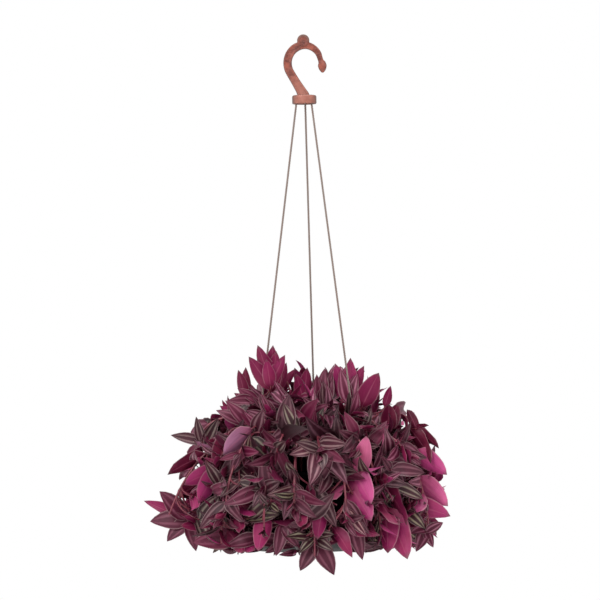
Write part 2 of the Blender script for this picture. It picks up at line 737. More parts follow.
def crumb_tree():
    """Scatters crumbs over the top of the soil, each turned and sized by chance."""
    tree, given = new_tree(
        "soil_crumbs",
        [("Density", "Float"), ("Crumb size", "Float"), ("Lowest", "Float"), ("Seed", "Int"),
         ("Finish", "Material")],
    )
    place = add_node(tree, "GeometryNodeInputPosition").outputs[0]
    height = add_node(tree, "ShaderNodeSeparateXYZ", {0: place}).outputs["Z"]
    on_top = add_node(
        tree, "FunctionNodeCompare", {0: height, 1: given["Lowest"]}, operation="GREATER_THAN"
    )
    scattered = add_node(
        tree, "GeometryNodeDistributePointsOnFaces",
        {"Mesh": given["Geometry"], "Selection": on_top.outputs[0], "Density": given["Density"],
         "Seed": given["Seed"]},
    ).outputs["Points"]
    ball = add_node(
        tree, "GeometryNodeMeshIcoSphere", {"Radius": given["Crumb size"], "Subdivisions": 1}
    ).outputs["Mesh"]
    turn = add_node(
        tree, "FunctionNodeRandomValue",
        {0: (0.0, 0.0, 0.0), 1: (6.28, 6.28, 6.28), "Seed": given["Seed"]},
        data_type="FLOAT_VECTOR",
    ).outputs[0]
    size = add_node(
        tree, "FunctionNodeRandomValue", {0: (0.3, 0.3, 0.2), 1: (1.3, 1.0, 0.7), "Seed": 5},
        data_type="FLOAT_VECTOR",
    ).outputs[0]
    crumbs = add_node(
        tree, "GeometryNodeInstanceOnPoints",
        {"Points": scattered, "Instance": ball, "Rotation": turn, "Scale": size},
    ).outputs[0]
    both = add_node(tree, "GeometryNodeJoinGeometry")
    tree.links.new(given["Geometry"], both.inputs[0])
    tree.links.new(crumbs, both.inputs[0])
    end_tree(tree, both.outputs[0], given["Finish"])
    return tree


def make_soil():
    inner = -WALL - REST_GAP
    low = SOIL_LOW.z
    top_radius = wall_radius(SOIL_TOP) + inner - SOIL_EASE
    rings = [(top_radius * i / SOIL_RINGS, SOIL_TOP) for i in range(SOIL_RINGS + 1)]
    profile = [
        *rings, (wall_radius(low + SOIL_CORNER) + inner - SOIL_EASE, low + SOIL_CORNER),
        (wall_radius(low) + inner - SOIL_CORNER, low),
        (RECESS_RADIUS, low), (RECESS_RADIUS, low + RECESS_DEPTH), (0.0, low + RECESS_DEPTH),
    ]
    bm = bmesh.new()
    add_turned(bm, profile, SOIL_SIDES)
    chance = random.Random(7)
    for vert in bm.verts:
        if vert.co.z > SOIL_TOP - 0.0001:
            vert.co.z -= chance.uniform(*HUMPS)
    soil = new_piece("potting_mix", bm)
    grown(soil, crumb_tree(), {
        "Density": CRUMB_DENSITY, "Crumb size": CRUMB_SIZE, "Lowest": SOIL_TOP - CRUMB_DEPTH, "Seed": 11,
        "Finish": soil_finish(),
    })
    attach(soil, "root")
    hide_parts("soil")


make_soil()


# ----------------------------------------------------------------- shoots
# Fifty shoots of purple tradescantia stand in the soil: those in the middle rise, and the outer ones
# arch over the rim and trail. A leaf is lance-shaped, clasps the stem and is striped above and plain
# magenta below; the leaves crowd into a star at each tip and stand apart further down.

# Azimuth, foot radius, reach and height of the tip, the tip's lean above the horizontal, and how
# young and pink the leaves are, in metres and degrees. The front is at 270, and the right side at 0.
CROWN_SHOOTS = (
    (186, 0.020, 0.058, -0.452, 85, 0.75),
    (214, 0.012, 0.036, -0.466, 68, 0.70),
    (262, 0.018, 0.022, -0.474, 80, 0.55),
    (318, 0.014, 0.034, -0.468, 75, 0.50),
    (346, 0.022, 0.060, -0.464, 82, 0.70),
    (30, 0.020, 0.052, -0.470, 72, 0.60),
    (96, 0.020, 0.048, -0.462, 78, 0.50),
    (146, 0.022, 0.056, -0.476, 70, 0.60),
)
SHOULDER_SHOOTS = (
    (190, 0.042, 0.084, -0.486, 62, 0.45),
    (352, 0.042, 0.088, -0.490, 60, 0.85),
    (336, 0.040, 0.106, -0.512, 35, 0.35),
    (310, 0.038, 0.092, -0.512, 40, 0.25),
    (287, 0.040, 0.092, -0.500, 48, 0.30),
    (262, 0.042, 0.100, -0.514, 38, 0.20),
    (238, 0.040, 0.098, -0.508, 42, 0.30),
    (16, 0.042, 0.100, -0.500, 45, 0.50),
    (46, 0.040, 0.112, -0.514, 35, 0.30),
    (72, 0.042, 0.096, -0.502, 46, 0.40),
    (112, 0.040, 0.110, -0.512, 38, 0.25),
    (138, 0.042, 0.098, -0.500, 46, 0.45),
    (166, 0.040, 0.108, -0.514, 34, 0.30),
)
MIDDLE_SHOOTS = (
    (183, 0.058, 0.150, -0.536, 38, 0.05),
    (211, 0.060, 0.146, -0.572, 5, 0.40),
    (231, 0.058, 0.152, -0.560, 10, 0.20),
    (252, 0.060, 0.150, -0.566, 5, 0.15),
    (275, 0.058, 0.148, -0.560, 8, 0.25),
    (298, 0.060, 0.152, -0.556, 10, 0.15),
    (332, 0.058, 0.150, -0.566, 8, 0.35),
    (353, 0.060, 0.152, -0.532, 30, 0.10),
    (22, 0.058, 0.152, -0.560, 10, 0.40),
    (52, 0.060, 0.148, -0.568, 5, 0.25),
    (99, 0.058, 0.152, -0.556, 12, 0.30),
    (126, 0.060, 0.150, -0.566, 5, 0.20),
    (154, 0.058, 0.152, -0.552, 15, 0.40),
)
SKIRT_SHOOTS = (
    (191, 0.070, 0.200, -0.648, -5, 0.70),
    (218, 0.072, 0.156, -0.684, -20, 0.45),
    (226, 0.070, 0.166, -0.640, -10, 0.10),
    (245, 0.072, 0.150, -0.664, -15, 0.15),
    (262, 0.070, 0.158, -0.634, -12, 0.30),
    (272, 0.072, 0.134, -0.700, -68, 0.30),
    (288, 0.070, 0.156, -0.650, -30, 0.60),
    (309, 0.072, 0.150, -0.668, -40, 0.60),
    (341, 0.070, 0.172, -0.664, -12, 0.55),
    (2, 0.072, 0.166, -0.620, -5, 0.80),
    (37, 0.072, 0.160, -0.660, -20, 0.40),
    (64, 0.070, 0.154, -0.642, -12, 0.30),
    (93, 0.072, 0.150, -0.676, -30, 0.50),
    (114, 0.070, 0.160, -0.646, -10, 0.30),
    (140, 0.072, 0.154, -0.668, -20, 0.45),
    (169, 0.070, 0.166, -0.640, -8, 0.35),
)
FOOT_RISE = {"crown": 0.045, "shoulder": 0.085, "middle": 0.095, "skirt": 0.100}
FOOT_GAP = 0.0008  # between the soil and the foot of a stem
FOOT_SPREAD = 0.1  # how far a stem leaves the vertical while it rises
ARCH_Z = -0.548  # of the point that a skirt shoot bends over at
ARCH_REACH = 0.165
MIDDLE_BEND = 0.86  # share of its reach at which a middle shoot bends over
MIDDLE_LIFT = 0.035  # of that bend above the tip
TIP_PULL = 0.42  # share of the way from foot to tip over which an upright stem straightens
DRIFT = 5  # degrees that a stem may turn aside on its way
STEM_RADIUS = 0.0019
BRANCH_GIRTH = 0.78  # share of a main stem's
STEM_TAPER = 0.3
STEM_STEPS = 26
STEM_SIDES = 8
SHEATH_SWELL = 0.35  # of a stem where a leaf clasps it
SHEATH_LENGTH = 0.005
STAR_TURN = 0.75  # share by which the leaves at a tip turn from the stem's way to the star's own aim
# Bend and twist in degrees, fold, wave, and width to length of each sort of blade.
BLADES = (
    (6, 0, 0.38, 0.04, 0.370),
    (18, 12, 0.30, 0.08, 0.403),
    (26, -14, 0.34, 0.09, 0.426),
    (34, 20, 0.26, 0.12, 0.403),
    (42, -22, 0.30, 0.10, 0.392),
    (52, 16, 0.22, 0.13, 0.448),
    (62, -24, 0.26, 0.11, 0.414),
    (74, 20, 0.24, 0.10, 0.403),
    (-10, 0, 0.50, 0.02, 0.370),
    (26, 4, 0.75, 0.03, 0.336),
    (26, 5, 0.24, 0.05, 0.515),
    (-18, 10, 0.40, 0.05, 0.370),
)
BLADE_ROWS = 7
BLADE_COLUMNS = (-1.0, -0.55, 0.0, 0.55, 1.0)
BLADE_THICKNESS = 0.011  # share of the length
MARGIN_THINNING = 0.55  # share of its thickness that a blade loses towards its margins
ROOT_THICKENING = 1.15  # of a blade at its root, and less and less from there to the tip
ROW_POWER = 0.9
BELLY = 1.34  # scale, rise and fall of the blade's width along it
BELLY_RISE = 0.55
BELLY_FALL = 0.95
CLASP = 0.10  # least width at the root
BEND_LOSS = 0.05  # share by which a blade reaches less far when it bends by BEND_UNIT degrees
BEND_UNIT = 40
BEND_POWER = 1.3  # above 1, a blade bends more and more towards its tip
BEND_STEPS = 12
FOLD_POWER = 1.4
RIPPLES = 9.0  # radians of the margin's wave along a blade
RIPPLE_SKEW = 2.5  # radians from the wave at the midrib to that at a margin
SHEET_ROWS = (0.34, 0.5, 0.65, 0.8)
SHEET_HALF = 0.65
SHEET_TIP = 0.98
ROOT_SINK = 0.0008  # of a leaf's root into its stem
SHOW_ROOT_SINK = 0.001


def leaf_fields(tree):
    """What both faces of a leaf are coloured by: its own layout and its shoot's tone, luck and age."""
    laid = add_node(tree, "ShaderNodeUVMap", uv_map="blade").outputs["UV"]
    split = add_node(tree, "ShaderNodeSeparateXYZ", {0: laid}).outputs
    centred = sums(tree, "SUBTRACT", split["X"], 0.5)
    outer = sums(tree, "MULTIPLY", sums(tree, "ABSOLUTE", centred), 2.0)
    tone, luck, age = (
        add_node(tree, "ShaderNodeAttribute", attribute_name=name).outputs["Fac"]
        for name in ("tone", "luck", "age")
    )
    return laid, outer, split["Y"], tone, luck, age


def leaf_face_finish():
    """The upper face: dark, with a silvery stripe on each half that frays at its edges."""
    made, tree, shader = new_finish("tradescantia_leaf_face", 0.42, Specular_IOR_Level=0.24)
    laid, outer, along, tone, luck, age = leaf_fields(tree)
    patches = grain(tree, 55.0, 3.0)
    veins = grain(tree, 1.0, 4.0, where=laid, stretch=(34.0, 1.6, 1.0))
    frayed = sums(tree, "ADD", outer, spread(tree, veins, 0.2, 0.8, -0.10, 0.10))
    inner_edge = spread(tree, frayed, 0.22, 0.38)
    outer_edge = spread(tree, frayed, 0.68, 0.46)
    band = sums(tree, "MULTIPLY", inner_edge, outer_edge)
    fading = spread(tree, along, 0.98, 0.70, 0.20, 1.0)
    strength = sums(tree, "MULTIPLY", fading, spread(tree, luck, 0.0, 1.0, 0.24, 0.82))
    dark = stops(
        tree, luck, (0.0, (0.095, 0.003, 0.026)), (0.45, (0.026, 0.003, 0.009)),
        (1.0, (0.014, 0.007, 0.006)),
    )
    pale = stops(
        tree, luck, (0.0, (0.34, 0.085, 0.150)), (0.3, (0.29, 0.103, 0.146)),
        (0.6, (0.250, 0.155, 0.162)), (0.85, (0.285, 0.245, 0.195)), (1.0, (0.38, 0.340, 0.215)),
    )
    striped = blend_colours(tree, sums(tree, "MULTIPLY", band, strength), dark, pale)
    pink = blend_colours(tree, band, (0.105, 0.005, 0.032), (0.52, 0.190, 0.290))
    young = blend_colours(tree, spread(tree, tone, 0.25, 0.95), striped, pink)
    lines = (veins, 0.42, 0.70, 0.35, (0.05, 0.014, 0.022))
    mottling = (patches, 0.35, 0.70, 0.30, (0.11, 0.010, 0.034))
    margin = (outer, 0.86, 0.98, 0.52, (0.34, 0.225, 0.230))
    ageing = (age, 0.0, 0.8, 0.90, (0.010, 0.003, 0.004))
    coloured = layered(tree, young, lines, mottling, margin, ageing)
    tree.links.new(coloured, shader.inputs["Base Color"])
    tree.links.new(spread(tree, veins, 0.2, 0.8, 0.40, 0.56), shader.inputs["Roughness"])
    emboss(tree, shader, veins, 0.0005, 0.6)
    return made


def leaf_back_finish():
    """The underside: plain magenta to crimson, with fine lines, a paler midrib and a greyish tip."""
    made, tree, shader = new_finish("tradescantia_leaf_back", 0.44, Specular_IOR_Level=0.24)
    laid, outer, along, tone, luck, age = leaf_fields(tree)
    veins = grain(tree, 1.0, 4.0, where=laid, stretch=(30.0, 1.2, 1.0))
    patches = grain(tree, 40.0, 3.0)
    mixed = sums(tree, "ADD", sums(tree, "MULTIPLY", luck, 0.6), sums(tree, "MULTIPLY", tone, 0.5))
    base = stops(
        tree, mixed, (0.05, (0.065, 0.002, 0.015)), (0.35, (0.115, 0.003, 0.030)),
        (0.60, (0.225, 0.010, 0.074)), (0.80, (0.430, 0.050, 0.190)), (0.90, (0.480, 0.120, 0.210)),
        (1.0, (0.260, 0.100, 0.180)),
    )
    rooted = blend_colours(tree, spread(tree, along, 0.0, 0.55, 0.65, 0.0), base, (0.100, 0.003, 0.022))
    midrib = (outer, 0.09, 0.03, 0.35, (0.36, 0.10, 0.16))
    lines = (veins, 0.45, 0.72, 0.40, (0.08, 0.006, 0.026))
    blush = (patches, 0.45, 0.75, 0.35, (0.27, 0.030, 0.070))
    margin = (outer, 0.86, 0.98, 0.50, (0.34, 0.190, 0.210))
    greyish_tip = (along, 0.86, 0.99, 0.75, (0.11, 0.070, 0.070))
    ageing = (age, 0.0, 0.8, 0.88, (0.014, 0.002, 0.005))
    coloured = layered(tree, rooted, midrib, lines, blush, margin, greyish_tip, ageing)
    tree.links.new(coloured, shader.inputs["Base Color"])
    tree.links.new(spread(tree, veins, 0.2, 0.8, 0.42, 0.56), shader.inputs["Roughness"])
    emboss(tree, shader, veins, 0.0004, 0.6)
    return made


def stem_finish():
    made, tree, shader = new_finish("tradescantia_stem", 0.45, Specular_IOR_Level=0.5)
    streaks = grain(tree, 260.0, 4.0, stretch=(1.0, 1.0, 0.25))
    base = stops(
        tree, streaks, (0.35, (0.09, 0.010, 0.022)), (0.60, (0.17, 0.024, 0.042)),
        (0.80, (0.17, 0.085, 0.045)),
    )
    tree.links.new(base, shader.inputs["Base Color"])
    emboss(tree, shader, streaks, 0.0003, 0.5)
    return made


def blade_width(along):
    """Half the blade's width at a share of its length: a clasping root, a belly and a long point."""
    belly = BELLY * along**BELLY_RISE * (1.0 - along) ** BELLY_FALL
    return max(belly, CLASP * (1.0 - along))


def blade_point(sort, across, along):
    """A point of the blade's upper face, 1 long, with its root at the origin and its tip along +Y."""
    bend, twist, fold, wave, ratio = BLADES[sort]
    place = Vector((0.0, 0.0, 0.0))
    for i in range(BEND_STEPS):
        turn = math.radians(bend) * ((i + 0.5) / BEND_STEPS * along) ** BEND_POWER
        place += Vector((0.0, math.cos(turn), -math.sin(turn))) * along / BEND_STEPS
    turn = math.radians(bend) * along**BEND_POWER
    lift = Vector((0.0, math.sin(turn), math.cos(turn)))
    roll = math.radians(twist) * along
    half = blade_width(along) * ratio
    ripple = wave * ratio * math.sin(RIPPLES * along + RIPPLE_SKEW * across + sort) * across**2
    raised = fold * abs(across) ** FOLD_POWER * half + ripple * min(1.0, 4 * (1 - along))
    side = Vector((math.cos(roll), 0.0, 0.0)) + lift * math.sin(roll)
    return place + side * across * half + lift * raised


def blade_normal(sort, across, along):
    nudge = 0.01
    nearer = max(0.0, along - nudge)
    aside = blade_point(sort, across + nudge, along) - blade_point(sort, across - nudge, along)
    ahead = blade_point(sort, across, along + nudge) - blade_point(sort, across, nearer)
    return aside.cross(ahead).normalized()


def make_blade(sort):
    """One leaf of a sort, as a thin closed shell with its two faces marked 1 and 2."""
    bm = bmesh.new()
    skin = bm.faces.layers.int.new("skin")
    laid = bm.loops.layers.uv.new("blade")
    upper = []
    lower = []
    shares = {}
    for row in range(BLADE_ROWS):
        along = (row / BLADE_ROWS) ** ROW_POWER
        high = [bm.verts.new(blade_point(sort, across, along)) for across in BLADE_COLUMNS]
        low = [high[0]]
        for vert, across in zip(high[1:-1], BLADE_COLUMNS[1:-1]):
            deep = BLADE_THICKNESS * (1.0 - MARGIN_THINNING * abs(across)) * (ROOT_THICKENING - along)
            low.append(bm.verts.new(vert.co - blade_normal(sort, across, along) * deep))
        low.append(high[-1])
        for vert, across in zip(high + low, BLADE_COLUMNS * 2):
            shares[vert] = ((across + 1) / 2, along)
        upper.append(high)
        lower.append(low)
    tip = bm.verts.new(blade_point(sort, 0.0, 1.0))
    for rows, mark in ((upper, 1), (lower, 2)):
        for near, far in zip(rows, rows[1:]):
            for i in range(4):
                # Both skins are cut along the same diagonal, or they would cross near the margin.
                corners = (near[i], near[i + 1], far[i + 1], far[i])
                if mark == 2:
                    corners = (near[i], far[i], far[i + 1], near[i + 1])
                bm.faces.new(corners)[skin] = mark
        for i in range(4):
            corners = (rows[-1][i], rows[-1][i + 1], tip)
            bm.faces.new(corners if mark == 1 else corners[::-1])[skin] = mark
    bm.faces.new((*upper[0][::-1], *lower[0][1:-1]))[skin] = 2
    for face in bm.faces:
        middle = sum(shares[loop.vert][0] for loop in face.loops if loop.vert is not tip) / 2
        for loop in face.loops:
            loop[laid].uv = (middle, 1.0) if loop.vert is tip else shares[loop.vert]
    for edge in bm.edges:
        marks = {face[skin] for face in edge.link_faces}
        edge.smooth = len(marks) == 1
    return new_piece(f"blade_{sort:02d}", bm)


def blade_sheet(sort):
    """A coarse sheet of a blade past its clasping root, to tell where leaves would cross."""
    columns = (-SHEET_HALF, 0.0, SHEET_HALF)
    points = [blade_point(sort, across, along) for along in SHEET_ROWS for across in columns]
    points.append(blade_point(sort, 0.0, SHEET_TIP))
    corners = [3 * i + j for i in range(3) for j in range(2)]
    faces = [(corner, corner + 1, corner + 4, corner + 3) for corner in corners]
    return points, faces + [(9, 10, 12), (10, 11, 12)]


def shoot_tree():
    """Sweeps a tube along the shoot's line and sets a blade on each of its leaf points."""
    tree, given = new_tree(
        "leafy_shoot",
        [("Blades", "Collection"), ("Stem sides", "Int"), ("Stem skin", "Material"),
         ("Leaf face", "Material"), ("Leaf back", "Material")],
    )

    def read(name, kind):
        node = add_node(tree, "GeometryNodeInputNamedAttribute", {"Name": name}, data_type=kind)
        return node.outputs["Attribute"]

    parts = add_node(
        tree, "GeometryNodeSeparateGeometry",
        {"Geometry": given["Geometry"], "Selection": read("leaf", "BOOLEAN")},
    ).outputs
    line = add_node(tree, "GeometryNodeMeshToCurve", {"Mesh": parts["Inverted"]}).outputs[0]
    section = add_node(
        tree, "GeometryNodeCurvePrimitiveCircle", {"Resolution": given["Stem sides"], "Radius": 1.0}
    ).outputs[0]
    stem = add_node(
        tree, "GeometryNodeCurveToMesh",
        {"Curve": line, "Profile Curve": section, "Scale": read("girth", "FLOAT"), "Fill Caps": True},
    ).outputs[0]
    blades = add_node(
        tree, "GeometryNodeCollectionInfo",
        {"Collection": given["Blades"], "Separate Children": True, "Reset Children": True},
    ).outputs[0]
    turned = add_node(
        tree, "FunctionNodeAxesToRotation",
        {"Primary Axis": read("upper", "FLOAT_VECTOR"),
         "Secondary Axis": read("along", "FLOAT_VECTOR")},
        primary_axis="Z", secondary_axis="Y",
    ).outputs[0]
    leaves = add_node(
        tree, "GeometryNodeInstanceOnPoints",
        {"Points": parts["Selection"], "Instance": blades, "Pick Instance": True,
         "Instance Index": read("sort", "INT"), "Rotation": turned, "Scale": read("length", "FLOAT")},
    ).outputs[0]
    both = add_node(tree, "GeometryNodeJoinGeometry")
    tree.links.new(stem, both.inputs[0])
    tree.links.new(leaves, both.inputs[0])
    whole = add_node(tree, "GeometryNodeRealizeInstances", {0: both.outputs[0]}).outputs[0]
    whole = add_node(tree, "GeometryNodeSetShadeSmooth", {0: whole}).outputs[0]
    for mark, finish in ((0, "Stem skin"), (1, "Leaf face"), (2, "Leaf back")):
        chosen = add_node(
            tree, "FunctionNodeCompare", {2: read("skin", "INT"), 3: mark},
            data_type="INT", operation="EQUAL",
        ).outputs[0]
        whole = add_node(
            tree, "GeometryNodeSetMaterial",
            {"Geometry": whole, "Selection": chosen, "Material": given[finish]},
        ).outputs[0]
    tree.links.new(whole, add_node(tree, "NodeGroupOutput").inputs[0])
    return tree


def stem_curve(shoot, family, seed):
    """Control points of a stem: up out of the soil, over, and out to its tip or down to it."""
    azimuth, foot, reach, height, lean, _ = shoot
    drift = random.Random(seed).uniform(-DRIFT, DRIFT)
    foot_out = outwards(azimuth - drift)
    start = foot_out * foot + UP * (SOIL_TOP + FOOT_GAP)
    end = outwards(azimuth) * reach + UP * height
    rise = FOOT_RISE[family]
    after_start = start + UP * rise + foot_out * rise * FOOT_SPREAD
    if family == "skirt":
        before_end = outwards(azimuth) * min(reach, ARCH_REACH) + UP * ARCH_Z
    elif family == "middle":
        before_end = outwards(azimuth) * reach * MIDDLE_BEND + UP * (height + MIDDLE_LIFT)
    else:
        before_end = end - outwards(azimuth, lean) * TIP_PULL * (end - start).length
    return start, after_start, before_end, end


def on_stem(curve, share):
    """Place and direction on the stem's cubic curve, at a share of its way from foot to tip."""
    a, b, c, d = curve
    rest = 1.0 - share
    place = a * rest**3 + b * 3 * rest**2 * share + c * 3 * rest * share**2 + d * share**3
    way = (b - a) * rest**2 + (c - b) * 2 * rest * share + (d - c) * share**2
    return place, way.normalized()


def around(axis, start, turn):
    """The direction at right angles to axis that is turned from start about it."""
    first = (start - axis * start.dot(axis)).normalized()
    return first * math.cos(turn) + axis.cross(first) * math.sin(turn)


def square_to(along, upper):
    """The direction nearest to upper that is at right angles to along."""
    return (upper - along * upper.dot(along)).normalized()


def laid_sheet(sheet, root, along, upper, length):
    """A blade's sheet where the blade is to lie."""
    points, faces = sheet
    across = along.cross(upper)
    return [root + (across * p.x + along * p.y + upper * p.z) * length for p in points], faces


class Crowd:
    """The sheets of the leaves placed so far, and of what they have to keep clear of."""

    def __init__(self):
        self.items = []

    def add(self, points, faces):
        self.items.append(self.measured(points, faces))

    def blocks(self, points, faces):
        sheet, centre, reach = self.measured(points, faces)
        return any(
            (centre - other).length < reach + far and sheet.overlap(item)
            for item, other, far in self.items
        )

    def measured(self, points, faces):
        """A sheet, its middle, and how far it reaches from there."""
        centre = sum(points, Vector()) / len(points)
        reach = max((point - centre).length for point in points)
        return BVHTree.FromPolygons(points, faces), centre, reach


# The leaves that give the plant its outline and its brightest places, by hand, in millimetres: the node
# they spring from, the face turned to the front (1 upper, -1 under), sort, tone, luck and the tips.
SHOW_LEAVES = (
    ((-53, -42, -468), -1, 1, 0.42, 0.38,
     ((-68, -52, -411), (-50, -44, -413), (-83, -46, -428), (-44, -50, -420))),
    ((-52, -48, -470), -1, 1, 0.55, 0.42, ((-34, -48, -426), (-58, -62, -430))),
    ((-40, -6, -480), -1, 0, 0.35, 0.45, ((-31, -8, -438), (-18, 0, -447))),
    ((-88, -15, -488), -1, 0, 0.15, 0.35, ((-98, -20, -447), (-88, -10, -444))),
    ((-74, -30, -492), 1, 1, 0.30, 0.10, ((-112, -44, -488), (-98, -36, -472))),
    ((-6, -18, -494), -1, 1, 0.30, 0.50, ((-3, -20, -445), (-18, -22, -453))),
    ((16, -24, -498), 1, 1, 0.35, 0.10, ((22, -30, -448), (10, -36, -457), (34, -30, -453))),
    ((56, -22, -492), -1, 1, 0.65, 0.45, ((60, -22, -433), (75, -16, -444), (36, -20, -441))),
    ((54, -30, -496), 1, 3, 0.60, 0.10, ((46, -38, -450), (66, -38, -456))),
    ((74, -34, -502), -1, 10, 0.60, 0.34, ((97, -40, -452),)),
    ((106, -30, -502), -1, 1, 0.50, 0.40, ((115, -34, -472),)),
    ((110, -40, -534), -1, 10, 0.10, 0.05, ((124, -44, -496), (112, -52, -494))),
    ((150, -20, -534), -1, 4, 0.10, 0.00,
     ((137, -24, -503), (169, -26, -525), (187, -24, -557), (180, -32, -580))),
    ((146, -30, -566), -1, 10, 0.90, 0.60, ((194, -36, -595),)),
    ((148, -40, -602), -1, 10, 0.90, 0.55, ((194, -46, -639),)),
    ((138, -50, -638), -1, 10, 0.65, 0.45, ((195, -50, -650),)),
    ((160, -50, -676), 1, 10, 0.50, 0.30,
     ((184, -50, -662), (168, -60, -696), (146, -66, -699), (140, -70, -672))),
    ((102, -92, -640), -1, 10, 0.62, 0.42, ((138, -104, -707), (110, -110, -702))),
    ((56, -122, -582), -1, 10, 0.90, 0.60, ((88, -140, -630),)),
    ((50, -124, -600), -1, 10, 0.75, 0.50, ((87, -140, -653),)),
    ((66, -128, -590), -1, 2, 0.90, 0.76, ((78, -144, -533),)),
    ((118, -92, -612), 1, 2, 0.05, 0.95, ((98, -108, -634), (156, -96, -624))),
    ((112, -96, -586), 1, 2, 0.00, 0.40, ((158, -100, -588), (100, -112, -566))),
    ((4, -126, -676), 1, 2, 0.05, 0.85,
     ((-17, -146, -692), (28, -146, -689), (-31, -142, -669), (26, -146, -667))),
    ((6, -124, -684), 1, 10, 0.16, 0.28, ((-17, -134, -718), (33, -134, -724))),
    ((-18, -104, -532), 1, 2, 0.05, 0.92, ((-34, -112, -492),)),
    ((-80, -96, -540), 1, 2, 0.05, 0.95, ((-50, -112, -568),)),
    ((30, -122, -662), -1, 2, 0.55, 0.40, ((60, -132, -702),)),
    ((58, -120, -656), 1, 1, 0.30, 0.30, ((69, -132, -706),)),
    ((20, -128, -626), -1, 2, 0.60, 0.48, ((4, -140, -678),)),
    ((-150, -20, -548), 1, 0, 0.00, 0.75, ((-194, -24, -537), (-158, -26, -512), (-126, -30, -514))),
    ((-146, -20, -566), -1, 3, 0.15, 0.05, ((-202, -22, -588),)),
    ((-112, -60, -536), -1, 10, 0.20, 0.10, ((-134, -70, -588),)),
    ((-80, -100, -528), -1, 10, 1.00, 0.86, ((-123, -110, -560),)),
    ((-88, -60, -522), 1, 2, 0.35, 0.20, ((-127, -66, -500), (-112, -70, -488))),
    ((-128, -50, -586), -1, 10, 0.58, 0.62, ((-177, -54, -602), (-160, -60, -630))),
    ((-174, -20, -656), 1, 10, 0.30, 0.20, ((-206, -30, -614), (-202, -30, -683), (-224, -24, -654))),
    ((-168, -24, -656), 1, 2, 0.25, 0.20, ((-148, -40, -634), (-160, -36, -698))),
    ((-190, -14, -650), -1, 0, 0.10, 0.80, ((-233, -16, -628),)),
    ((-154, -50, -654), 1, 2, 0.00, 0.85, ((-126, -66, -618), (-140, -66, -690))),
    ((-124, -90, -602), 1, 2, 0.00, 0.75, ((-88, -108, -596), (-142, -96, -570))),
    ((-96, -112, -598), 1, 2, 0.00, 0.70, ((-54, -130, -606), (-124, -124, -616))),
    ((-84, -112, -648), 1, 2, 0.05, 0.95, ((-52, -132, -618), (-46, -132, -640))),
    ((-60, -116, -642), -1, 2, 0.62, 0.48, ((-74, -138, -695),)),
    ((-100, -92, -677), 1, 10, 0.30, 0.10, ((-162, -96, -678),)),
    ((-70, -108, -678), 1, 2, 0.30, 0.15, ((-22, -112, -686), (-118, -112, -684))),
    ((-38, -118, -660), 1, 2, 0.30, 0.35, ((-16, -130, -688), (-46, -132, -698))),
)
SHOW_SEED = 77
SHOW_STEP = 0.0035  # down the stem from each of a node's leaves to the next
SHOW_TILT = 0.35  # how far a show leaf's face may turn aside from the front
SHOW_LIFT = 0.45  # and how far it faces up
SHOW_SCATTER = 0.08  # of the luck of a node's leaves
SHOW_AIM = Vector((0.0, -0.3, 0.0))  # a pull to the front on a node's branch
SHOW_ROOM = 0.024  # round each of those nodes, where a shoot's own star is left out
SIGHT_DEPTH = 0.055  # in front of a show leaf, kept free of the ordinary leaves
SLIVER = 0.0005  # width of the strips that keep it free
# Dark gaps between the leaves, through which the pot shows, as middle and half size in millimetres.
DARK_GAPS = (
    ((40, -80, -630), (6, 12)), ((-48, -84, -676), (7, 5)), ((-8, -84, -588), (6, 21)),
    ((44, -86, -660), (7, 7)), ((-118, -60, -660), (6, 6)), ((84, -70, -560), (7, 7)),
    ((46, -90, -686), (12, 5)), ((-34, -84, -560), (5, 7)),
)
GAP_STEP = 3
GAP_DEPTH = 0.09

# Height, distance from the axis, lean and number of the stars that side branches bear, row by row.
BRANCH_ROWS = (
    (-0.486, 0.030, 88, 5),
    (-0.492, 0.062, 80, 10),
    (-0.510, 0.086, 70, 14),
    (-0.532, 0.108, 58, 17),
    (-0.556, 0.124, 46, 19),
    (-0.582, 0.136, 30, 21),
    (-0.608, 0.142, 14, 21),
    (-0.634, 0.148, 0, 21),
    (-0.660, 0.146, -10, 20),
    (-0.682, 0.132, -4, 18),
    (-0.664, 0.114, 4, 14),
    (-0.692, 0.116, 4, 14),
)
# The plant's outline, as (height, distance from the axis), which ordinary leaves stay inside.
OUTLINE = (
    (-0.700, 0.156), (-0.688, 0.182), (-0.648, 0.198), (-0.600, 0.184), (-0.540, 0.170),
    (-0.500, 0.134), (-0.470, 0.106), (-0.440, 0.072),
)
OUTLINE_SLACK = 0.008
BRANCH_SEED = 41
BRANCH_TURN = 0.2  # scatter of a branch's azimuth, as a share of the step in its row
BRANCH_REACH = (-0.008, 0.006)  # scatter of its tip's distance from the axis
BRANCH_RISE = (-0.006, 0.006)  # and of its height
BRANCH_TONE = 0.3
BRANCH_APART = 0.024  # from a shoot's own tip
BRANCH_LENGTH = 0.050
BACKWARDS = 0.05  # length by which a branch that would run backwards counts as worse
CURVE_STEPS = 20  # in which a stem is measured
HOST_STEPS = range(7, 19)  # those of its steps, from its foot, at which a branch may start
BRANCH_ROOT_PULL = 0.35  # share of the branch's length over which it leaves its host's way
BRANCH_TIP_PULL = 0.40  # and over which it comes to its own aim
SHOOT_BARE = 0.28  # share of a shoot's own stem, from its foot, that bears no leaves
BRANCH_BARE = 0.25  # and of a branch
VIGOUR = (0.66, 1.14)  # least and most scale of a star's leaves
HEART_SORTS = (8, 9)  # the two young leaves in a star's heart
HEART_STEP = 0.001  # share of the stem from the first to the second
HEART_LENGTH = 0.024
HEART_GROWTH = 0.007  # of the second leaf over the first
HEART_SPREAD = 10  # degrees from the stem, and HEART_OPENING more for the second
HEART_OPENING = 8
STAR_LEAVES = 7
STAR_SORTS = (0, 1, 2, 3, 4, 11)
STAR_LENGTH = 0.040
STAR_GROWTH = 0.0036  # of each leaf over the one before
